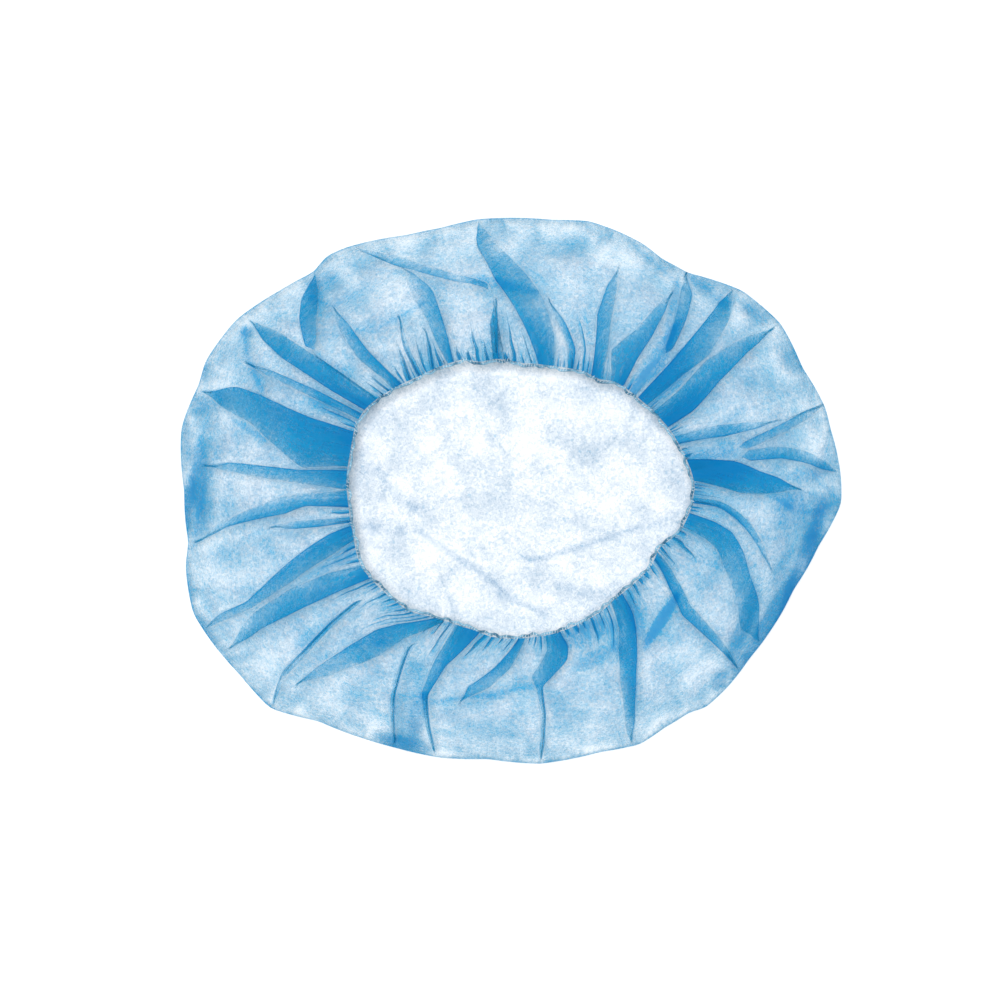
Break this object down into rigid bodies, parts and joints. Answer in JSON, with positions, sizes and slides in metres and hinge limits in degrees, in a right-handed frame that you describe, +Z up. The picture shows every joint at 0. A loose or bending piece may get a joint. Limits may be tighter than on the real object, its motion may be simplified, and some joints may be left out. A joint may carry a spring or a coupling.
{
  "type": "disposable hairnet",
  "caption": "Round gathered cap of thin nonwoven cloth with an elastic opening, lying crown down with its skirt folded in.",
  "frame": {"origin": "on the floor under the middle of the cap's outline", "axes": "+Z up out of the opening, +X along the cap's longer width, +Y across it"},
  "size_m": [0.3391, 0.2811, 0.04],
  "materials": {
    "nonwoven_cloth": "thin see-through spunbonded polypropylene, matt with a faint fibre sheen",
    "elastic_thread": "covered elastic cord in a stitched edge, matt"
  },
  "bodies": {
    "root": {"cap_cloth": "nonwoven_cloth", "elastic_edge": "elastic_thread"}
  },
  "joints": []
}
